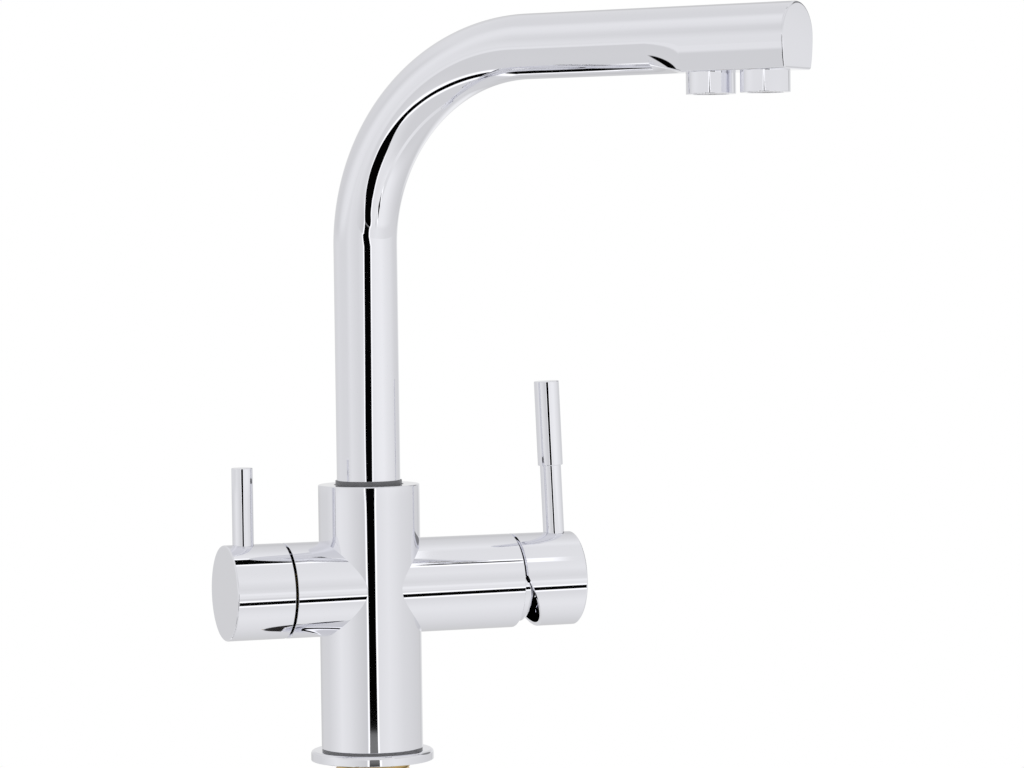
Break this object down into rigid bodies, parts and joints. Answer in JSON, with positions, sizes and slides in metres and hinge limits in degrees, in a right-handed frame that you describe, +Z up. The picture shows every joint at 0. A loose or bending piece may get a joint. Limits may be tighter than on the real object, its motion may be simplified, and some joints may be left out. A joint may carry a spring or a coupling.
{
  "type": "three way filtered water tap",
  "caption": "Deck mounted kitchen tap: high swivel spout with two outlets, single lever mixer on one side and a quarter turn filtered water handle on the other.",
  "frame": {"origin": "centre of the base flange's underside, on the column's axis at the worktop's surface", "axes": "+Z up along the column and the spout's swivel axis; the handle arms lie along X with the mixer at +X and the filter handle at -X; -Y is the front, where the user stands. At rest both levers point up, the water is off, and the spout is turned 51.5 degrees from +X towards -Y, as in the picture"},
  "size_m": [0.2114, 0.2036, 0.387],
  "materials": {
    "chrome": "polished mirror chrome",
    "brass": "plain turned brass",
    "steel": "plain stainless steel",
    "rubber": "matt black rubber",
    "black_plastic": "satin black plastic",
    "white_plastic": "satin white plastic",
    "ceramic": "lapped ceramic"
  },
  "bodies": {
    "root": {"base_flange": "chrome", "column_body": "chrome", "mixer_shroud": "chrome", "threaded_shank": "brass", "fixing_nut": "brass", "filtered_bush": "brass", "headwork_body": "brass", "cartridge_nut": "brass", "deck_steel_washer": "steel", "spout_retaining_screw": "steel", "base_gasket": "rubber", "deck_rubber_washer": "rubber", "headwork_seat_seal": "rubber", "headwork_gasket": "rubber", "cartridge_port_seals": "rubber", "upper_glide_ring": "black_plastic", "lower_glide_ring": "white_plastic", "cartridge_base": "white_plastic", "cartridge_housing": "white_plastic", "filter_fixed_disc": "ceramic", "mixer_fixed_disc": "ceramic"},
    "spout": {"spout_tube": "chrome", "spout_head": "chrome", "swivel_sleeve": "brass", "lower_spout_seal": "rubber", "upper_spout_seal": "rubber", "filtered_tube": "white_plastic", "filtered_tail": "brass", "tail_seal_ring": "rubber", "tube_end_seal": "rubber", "rear_outlet_housing": "chrome", "rear_flow_insert": "white_plastic", "rear_outlet_washer": "rubber", "front_outlet_housing": "chrome", "front_flow_insert": "white_plastic", "front_outlet_washer": "rubber"},
    "filter_valve": {"filter_cap": "chrome", "filter_lever": "chrome", "filter_spindle": "brass", "spindle_seal_ring": "rubber", "spindle_circlip": "steel", "filter_turning_disc": "ceramic", "filter_grub_screw": "steel"},
    "mixer_turret": {"mixer_turret": "white_plastic", "pivot_pin": "steel"},
    "mixer_disc": {"mixer_moving_disc": "ceramic", "disc_carrier": "black_plastic"},
    "mixer_handle": {"mixer_stem": "brass", "mixer_cap": "chrome", "mixer_lever_rod": "chrome", "mixer_lever_grip": "chrome", "mixer_grub_screw": "steel"}
  },
  "joints": [
    {"name": "spout_swivel", "type": "hinge", "parent": "root", "child": "spout", "pos_m": [0, 0, 0], "axis": [0, 0, 1], "continuous": true},
    {"name": "filter_turn", "type": "hinge", "parent": "root", "child": "filter_valve", "pos_m": [0, 0, 0.0768], "axis": [1, 0, 0], "range_deg": [0, 90]},
    {"name": "mixer_temperature", "type": "hinge", "parent": "root", "child": "mixer_turret", "pos_m": [0, 0, 0.0768], "axis": [1, 0, 0], "range_deg": [-50, 50]},
    {"name": "mixer_flow", "type": "hinge", "parent": "mixer_turret", "child": "mixer_handle", "pos_m": [0.0665, 0, 0.0768], "axis": [0, 1, 0], "range_deg": [0, 25]},
    {"name": "disc_slide", "type": "slide", "parent": "mixer_turret", "child": "mixer_disc", "axis": [0, 0, 1], "range_m": [0, 0.0058]}
  ],
  "couplings": [
    {"joint": "disc_slide", "follows": "mixer_flow", "m_per_rad": 0.013076}
  ]
}
